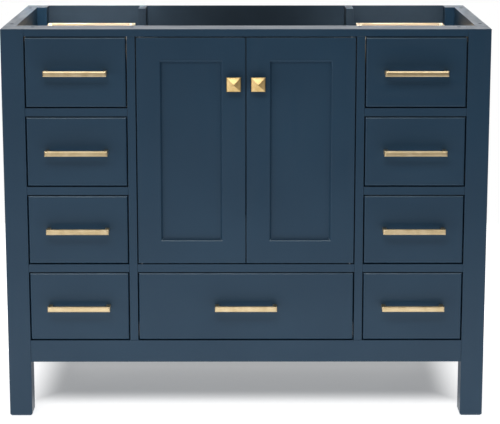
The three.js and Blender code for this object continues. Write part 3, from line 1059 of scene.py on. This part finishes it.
# %% Build the copying tree
def copying_tree():
    """A Geometry Nodes tree with inputs Shape, Size, Twist, Seed and Finish."""
    tree = bpy.data.node_groups.new("copy_to_places", "GeometryNodeTree")
    for name, kind in (("Geometry", "Geometry"), ("Shape", "Object"), ("Size", "Float"),
                       ("Twist", "Float"), ("Seed", "Int"), ("Finish", "Material")):
        tree.interface.new_socket(name, in_out="INPUT", socket_type=f"NodeSocket{kind}")
    tree.interface.new_socket("Geometry", in_out="OUTPUT", socket_type="NodeSocketGeometry")
    nodes = tree.nodes
    given = nodes.new("NodeGroupInput")
    result = nodes.new("NodeGroupOutput")
    source = nodes.new("GeometryNodeObjectInfo")
    turn = nodes.new("GeometryNodeInputNamedAttribute")
    turn.data_type = "FLOAT_VECTOR"
    turn.inputs["Name"].default_value = "turn"
    as_rotation = nodes.new("FunctionNodeEulerToRotation")
    chance = nodes.new("FunctionNodeRandomValue")
    chance.data_type = "FLOAT"
    twist = nodes.new("ShaderNodeCombineXYZ")
    twist_rotation = nodes.new("FunctionNodeEulerToRotation")
    twisted = nodes.new("FunctionNodeRotateRotation")
    twisted.rotation_space = "LOCAL"
    copies = nodes.new("GeometryNodeInstanceOnPoints")
    real = nodes.new("GeometryNodeRealizeInstances")
    coat = nodes.new("GeometryNodeSetMaterial")
    most = [socket for socket in chance.inputs if socket.name == "Max" and socket.type == "VALUE"][0]
    value = [socket for socket in chance.outputs if socket.type == "VALUE"][0]
    tree.links.new(given.outputs["Twist"], most)
    tree.links.new(value, twist.inputs["Z"])
    for giver, output, taker, entry in (
        (given, "Shape", source, "Object"),
        (turn, "Attribute", as_rotation, "Euler"),
        (given, "Seed", chance, "Seed"),
        (twist, "Vector", twist_rotation, "Euler"),
        (as_rotation, "Rotation", twisted, "Rotation"),
        (twist_rotation, "Rotation", twisted, "Rotate By"),
        (given, "Geometry", copies, "Points"),
        (source, "Geometry", copies, "Instance"),
        (twisted, "Rotation", copies, "Rotation"),
        (given, "Size", copies, "Scale"),
        (copies, "Instances", real, "Geometry"),
        (real, "Geometry", coat, "Geometry"),
        (given, "Finish", coat, "Material"),
        (coat, "Geometry", result, "Geometry"),
    ):
        tree.links.new(giver.outputs[output], taker.inputs[entry])
    return tree


COPY_TREE = copying_tree()
print("inputs:", [item.name for item in COPY_TREE.interface.items_tree if item.in_out == "INPUT"])


# %% Place copies and keep them as a plain mesh
def copies_piece(name, shape_object, places, finish, body, scale=1.0, twist=0.0, seed=1,
                 smooth_below=None):
    """Copies a shape to places, each a point and a turn, as one mesh that rides on a body."""
    points = bpy.data.meshes.new(name)
    points.from_pydata([place for place, turn in places], [], [])
    turns = points.attributes.new("turn", "FLOAT_VECTOR", "POINT")
    for index, (place, turn) in enumerate(places):
        turns.data[index].vector = turn
    holder = bpy.data.objects.new(name, points)
    bpy.context.scene.collection.objects.link(holder)
    modifier = holder.modifiers.new("copies", "NODES")
    modifier.node_group = COPY_TREE
    values = {"Shape": shape_object, "Size": scale, "Twist": twist, "Seed": seed, "Finish": finish}
    for item in COPY_TREE.interface.items_tree:
        if item.in_out == "INPUT" and item.name in values:
            modifier[item.identifier] = values[item.name]
    graph = bpy.context.evaluated_depsgraph_get()
    result = bpy.data.meshes.new_from_object(holder.evaluated_get(graph))
    result.name = name
    holder.modifiers.clear()
    holder.data = result
    if "turn" in result.attributes:
        result.attributes.remove(result.attributes["turn"])
    if smooth_below is not None:
        result.shade_smooth()
        result.set_sharp_from_angle(angle=math.radians(smooth_below))
    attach(holder, body)
    made.append(holder)


# %% Fit the slides
LEVEL = (0.0, 0.0, 0.0)
HALF_TURN = (0.0, 0.0, math.pi)
ROLLER_STEPS = (-0.94, -0.62, -0.3, 0.0, 0.3, 0.62)
slide_middle = (slide_front + slide_rear) / 2


def slide_places(name):
    """Where the two slides of a drawer go, and which way each one faces."""
    left_wall, right_wall, base = bay(name)
    return [((left_wall, slide_middle, base), LEVEL), ((right_wall, slide_middle, base), HALF_TURN)]


track_places = [place for name in DRAWERS for place in slide_places(name)]
roller_places = [((x, slide_middle + step * half_length, z), turn)
                 for (x, y, z), turn in track_places for step in ROLLER_STEPS]
copies_piece("slide_tracks", track, track_places, zinc, "root")
copies_piece("slide_rollers", roller, roller_places, nylon, "root", smooth_below=40)
for name in DRAWERS:
    copies_piece(f"slide_caps_{name}", cap, slide_places(name), zinc, f"drawer_{name}")
print("tracks:", len(track_places), "rollers:", len(roller_places))

# %% [markdown]
# ## Door catches
# Each door is held shut by a magnetic catch under the stretcher. The catch is a small nylon housing
# with two steel pole plates, and it pulls on a thin steel strike plate on the back of the door.

# %% Fit the catches and strike plates
CATCH_INNER = 9 * MM
CATCH_OUTER = 47 * MM
CATCH_FRONT_GAP = 2.2 * MM
CATCH_DEPTH = 18 * MM
CATCH_HEIGHT = 12 * MM
CATCH_TOP_GAP = 0.2 * MM
CATCH_EASE = 1.0 * MM
POLE = 1.4 * MM
POLE_DROPS = (3.2 * MM, 7.4 * MM)
POLE_INSET = 5 * MM
POLE_PROUD = 0.7 * MM
POLE_SUNK = 3 * MM
POLE_EASE = 0.2 * MM
PLATE_BORDER = 1 * MM
PLATE_GAP = 0.05 * MM
PLATE_FACE = 1.2 * MM
PLATE_DROP = 1.2 * MM
PLATE_EASE = 0.3 * MM

door_back = limits("door_frame_left")[1].y
stretcher_base = limits("front_stretcher")[0].z
catch_front = door_back + CATCH_FRONT_GAP
catches = bmesh.new()
poles = bmesh.new()
for side, sign in SIDES.items():
    x0, x1 = sorted((sign * CATCH_INNER, sign * CATCH_OUTER))
    top = stretcher_base - CATCH_TOP_GAP
    base = top - CATCH_HEIGHT
    add_board(catches, (x0, catch_front, base), (x1, catch_front + CATCH_DEPTH, top), width=CATCH_EASE)
    for drop in POLE_DROPS:
        add_board(poles, (x0 + POLE_INSET, catch_front - POLE_PROUD, top - drop - POLE),
                  (x1 - POLE_INSET, catch_front + POLE_SUNK, top - drop), width=POLE_EASE)
    plate = bmesh.new()
    add_board(plate, (x0 - PLATE_BORDER, door_back + PLATE_GAP, base - PLATE_BORDER),
              (x1 + PLATE_BORDER, door_back + PLATE_FACE, top - PLATE_DROP), width=PLATE_EASE)
    finish_piece(f"strike_plate_{side}", plate, [zinc], f"door_{side}", "hinge_steel")
finish_piece("catch_housings", catches, [nylon], "root", None)
finish_piece("catch_poles", poles, [zinc], "root", "hinge_steel")
print("catch gap in mm:", round((CATCH_FRONT_GAP - POLE_PROUD - PLATE_FACE) / MM, 2))

# %% [markdown]
# ## Screws
# Screws hold the slides to the bay walls, the drawer boxes to their fronts, and the pulls, knobs and
# hinge leaves. A pan-head screw is a low dome with a cross recess. One head of unit diameter is
# modelled here: a turned profile, with the recess cut by a Boolean. The tree above then puts heads of
# the right size at every place, in one mesh for each body that moves.

# %% Model one screw head
HEAD_PROFILE = ((0.5, 0.0), (0.5, 0.06), (0.44, 0.17), (0.3, 0.24), (0.12, 0.27))
HEAD_SEGMENTS = 20
RECESS_WIDTH = 0.09
RECESS_LENGTH = 0.5
RECESS_DEPTH = 0.17
RECESS_OVERCUT = 0.1
QUARTER_TURNS = ((1, 0), (0, 1), (-1, 0), (0, -1))


def screw_head():
    """A pan head of unit diameter, with its seat on z = 0 and a cross recess in its top."""
    shape = bmesh.new()
    rings = []
    angles = [2 * math.pi * index / HEAD_SEGMENTS for index in range(HEAD_SEGMENTS)]
    for radius, level in HEAD_PROFILE:
        rings.append([shape.verts.new((radius * math.cos(angle), radius * math.sin(angle), level))
                      for angle in angles])
    for lower, upper in zip(rings, rings[1:]):
        for index in range(HEAD_SEGMENTS):
            shape.faces.new((lower[index - 1], lower[index], upper[index], upper[index - 1]))
    shape.faces.new(rings[-1])
    shape.faces.new(list(reversed(rings[0])))
    bmesh.ops.recalc_face_normals(shape, faces=shape.faces)
    head = hidden_shape("screw_head", shape, zinc)
    bpy.context.scene.collection.objects.link(head)
    recess = bmesh.new()
    top = HEAD_PROFILE[-1][1]
    arm, half = RECESS_LENGTH / 2, RECESS_WIDTH / 2
    quarter = [(arm, -half), (arm, half), (half, half)]
    cross = [(x * cosine - y * sine, x * sine + y * cosine)
             for cosine, sine in QUARTER_TURNS for x, y in quarter]
    add_prism(recess, cross, "z", top - RECESS_DEPTH, top + RECESS_OVERCUT)
    drilled(head, recess)
    bpy.context.scene.collection.objects.unlink(head)
    return head


head = screw_head()
print("faces in a screw head:", len(head.data.polygons))

# %% Turns that face a screw along an axis
FACING = {
    "+x": (0.0, math.pi / 2, 0.0),
    "-x": (0.0, -math.pi / 2, 0.0),
    "+y": (-math.pi / 2, 0.0, 0.0),
    "+z": (0.0, 0.0, 0.0),
    "-z": (math.pi, 0.0, 0.0),
}
SLIDE_SCREW = 7.0 * MM
BOX_SCREW = 7.5 * MM
PULL_SCREW = 8.5 * MM
LEAF_SCREW = 6.0 * MM
SCREW_TWIST = math.pi / 2
SLIDE_SCREW_LEVEL = 26 * MM
SLIDE_SCREW_STEPS = (-0.78, 0.0, 0.78)
screw_sizes = (SLIDE_SCREW, BOX_SCREW, PULL_SCREW, LEAF_SCREW)
print("screw sizes in mm:", [round(value / MM, 1) for value in screw_sizes])

# %% Screw the tracks to the walls
slide_screws = []
for name in DRAWERS:
    left_wall, right_wall, base = bay(name)
    for step in SLIDE_SCREW_STEPS:
        y = slide_middle + step * half_length
        slide_screws.append(((left_wall + TRACK_GAP + STRIP, y, base + SLIDE_SCREW_LEVEL), FACING["+x"]))
        slide_screws.append(((right_wall - TRACK_GAP - STRIP, y, base + SLIDE_SCREW_LEVEL), FACING["-x"]))
copies_piece("slide_screws", head, slide_screws, zinc, "root", scale=SLIDE_SCREW,
             twist=SCREW_TWIST, seed=3)
print("slide screws:", len(slide_screws))

# %% Screw on the drawer fronts and pulls
PULL_POST = 9 * MM
BOX_SCREW_INSET = 26 * MM

for index, name in enumerate(DRAWERS):
    box_low, box_high = limits(f"drawer_box_{name}")
    pull_low, pull_high = limits(f"pull_{name}")
    inner_face = box_low.y + WALL
    pull_z = (pull_low.z + pull_high.z) / 2
    pull_x = (pull_low.x + PULL_POST / 2, pull_high.x - PULL_POST / 2)
    pull_screws = [((x, inner_face, pull_z), FACING["+y"]) for x in pull_x]
    xs = (box_low.x + WALL + BOX_SCREW_INSET, box_high.x - WALL - BOX_SCREW_INSET)
    zs = (box_low.z + FLOOR_RAISE + BOX_SCREW_INSET, box_high.z - BOX_SCREW_INSET)
    box_screws = [((x, inner_face, z), FACING["+y"]) for x in xs for z in zs]
    copies_piece(f"pull_screws_{name}", head, pull_screws, zinc, f"drawer_{name}",
                 scale=PULL_SCREW, twist=SCREW_TWIST, seed=10 + index)
    copies_piece(f"front_screws_{name}", head, box_screws, zinc, f"drawer_{name}",
                 scale=BOX_SCREW, twist=SCREW_TWIST, seed=30 + index)
print("screws in a drawer:", len(pull_screws) + len(box_screws))

# %% Screw on the knobs and hinge leaves
LEAF_SCREW_STEPS = (0.42, 0.8)
LEAF_SCREW_SINK = 1.2 * MM

for index, (side, sign) in enumerate(SIDES.items()):
    knob_low, knob_high = limits(f"knob_{side}")
    knob_x = (knob_low.x + knob_high.x) / 2
    knob_z = (knob_low.z + knob_high.z) / 2
    door_screws = [((knob_x, door_back, knob_z), FACING["+y"])]
    copies_piece(f"knob_screw_{side}", head, door_screws, zinc, f"door_{side}",
                 scale=PULL_SCREW, twist=SCREW_TWIST, seed=50 + index)
    leaf_screws = []
    for end, facing in (("top", "+z"), ("bottom", "-z")):
        leaf_low, leaf_high = limits(f"pivot_hinge_{side}_{end}")
        level = limits(f"door_frame_{side}")[1 if end == "top" else 0].z
        sunk = level - LEAF_SCREW_SINK if end == "top" else level + LEAF_SCREW_SINK
        hanging = leaf_low.x if sign < 0 else leaf_high.x
        length = leaf_high.x - leaf_low.x
        leaf_y = (leaf_low.y + leaf_high.y) / 2
        for step in LEAF_SCREW_STEPS:
            leaf_screws.append(((hanging - sign * length * step, leaf_y, sunk), FACING[facing]))
    copies_piece(f"leaf_screws_{side}", head, leaf_screws, zinc, f"door_{side}",
                 scale=LEAF_SCREW, twist=SCREW_TWIST, seed=60 + index)
print("leaf screws on a door:", len(leaf_screws))

# %% [markdown]
# ## Check the size and finish
# The dressed cabinet must be as large as the CAD model and no larger. The shapes that Geometry Nodes
# copied are removed, and the pieces made and their triangles are counted and printed.

# %% Remove the copied shapes and count the triangles
for shape_object in (track, cap, roller, head):
    bpy.data.objects.remove(shape_object)
triangles = sum(len(face.vertices) - 2 for piece in made for face in piece.data.polygons)
print("pieces made:", len(made), "triangles:", triangles)
